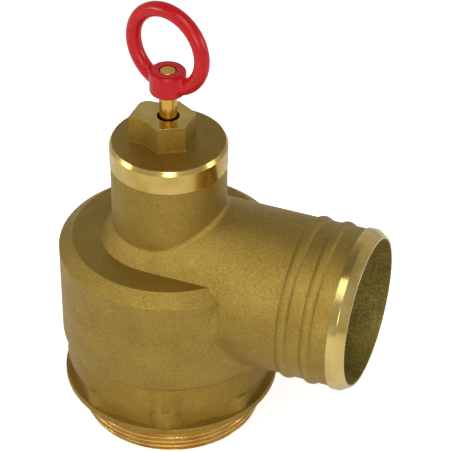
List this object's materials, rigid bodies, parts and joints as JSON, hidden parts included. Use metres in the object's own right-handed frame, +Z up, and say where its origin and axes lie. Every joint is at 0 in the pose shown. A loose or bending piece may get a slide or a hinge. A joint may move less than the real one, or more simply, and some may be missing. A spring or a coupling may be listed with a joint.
{
  "type": "safety valve",
  "caption": "Angle safety valve in cast brass with a screwed inlet adapter, side hose outlet, spring-loaded disc, adjusting cap and pull ring.",
  "frame": {"origin": "centre of the inlet flange's underside, on the inlet thread's axis", "axes": "+Z up along the stem, +X out of the side outlet"},
  "size_m": [0.1303, 0.0902, 0.1921],
  "materials": {
    "cast_brass": "shot-blasted cast brass, matt",
    "machined_brass": "turned brass, bright",
    "red_enamel": "glossy red enamel",
    "rubber": "moulded nitrile rubber",
    "spring_steel": "drawn spring steel",
    "stainless_steel": "stainless steel",
    "bearing_plastic": "natural acetal"
  },
  "bodies": {
    "valve": {"valve_body": "cast_brass", "inlet_adapter": "cast_brass", "adapter_seal_ring": "rubber"},
    "lift_plate": {"lower_spring_plate": "machined_brass"},
    "stem_group": {"stem": "machined_brass", "stem_clip": "spring_steel", "stem_seal_ring": "rubber", "valve_disc": "machined_brass", "disc_seal": "rubber", "seal_retainer": "machined_brass", "retainer_washer": "stainless_steel", "castle_nut": "machined_brass", "cotter_pin": "stainless_steel", "pull_ring": "red_enamel", "ring_lock_pin": "spring_steel"},
    "spring_top": {"upper_spring_plate": "machined_brass", "thrust_washer": "bearing_plastic", "lift_spring": "spring_steel"},
    "cap": {"adjusting_cap": "cast_brass", "cap_seal_ring": "rubber", "guide_bush": "machined_brass", "bush_snap_ring": "spring_steel"}
  },
  "joints": [
    {"name": "lift", "type": "slide", "parent": "valve", "child": "lift_plate", "axis": [0, 0, 1], "range_m": [0, 0.01], "stiffness_N_per_m": 13000, "springref_m": -0.025, "deforming": ["lift_spring"]},
    {"name": "stem_turn", "type": "hinge", "parent": "lift_plate", "child": "stem_group", "pos_m": [0, 0, 0.04], "axis": [0, 0, 1], "continuous": true},
    {"name": "cap_rise", "type": "slide", "parent": "valve", "child": "spring_top", "axis": [0, 0, 1], "range_m": [0, 0.008]},
    {"name": "cap_turn", "type": "hinge", "parent": "spring_top", "child": "cap", "pos_m": [0, 0, 0.11], "axis": [0, 0, 1], "range_deg": [0, 1440]}
  ],
  "couplings": [
    {"joint": "cap_rise", "follows": "cap_turn", "m_per_rad": 0.00031831}
  ]
}
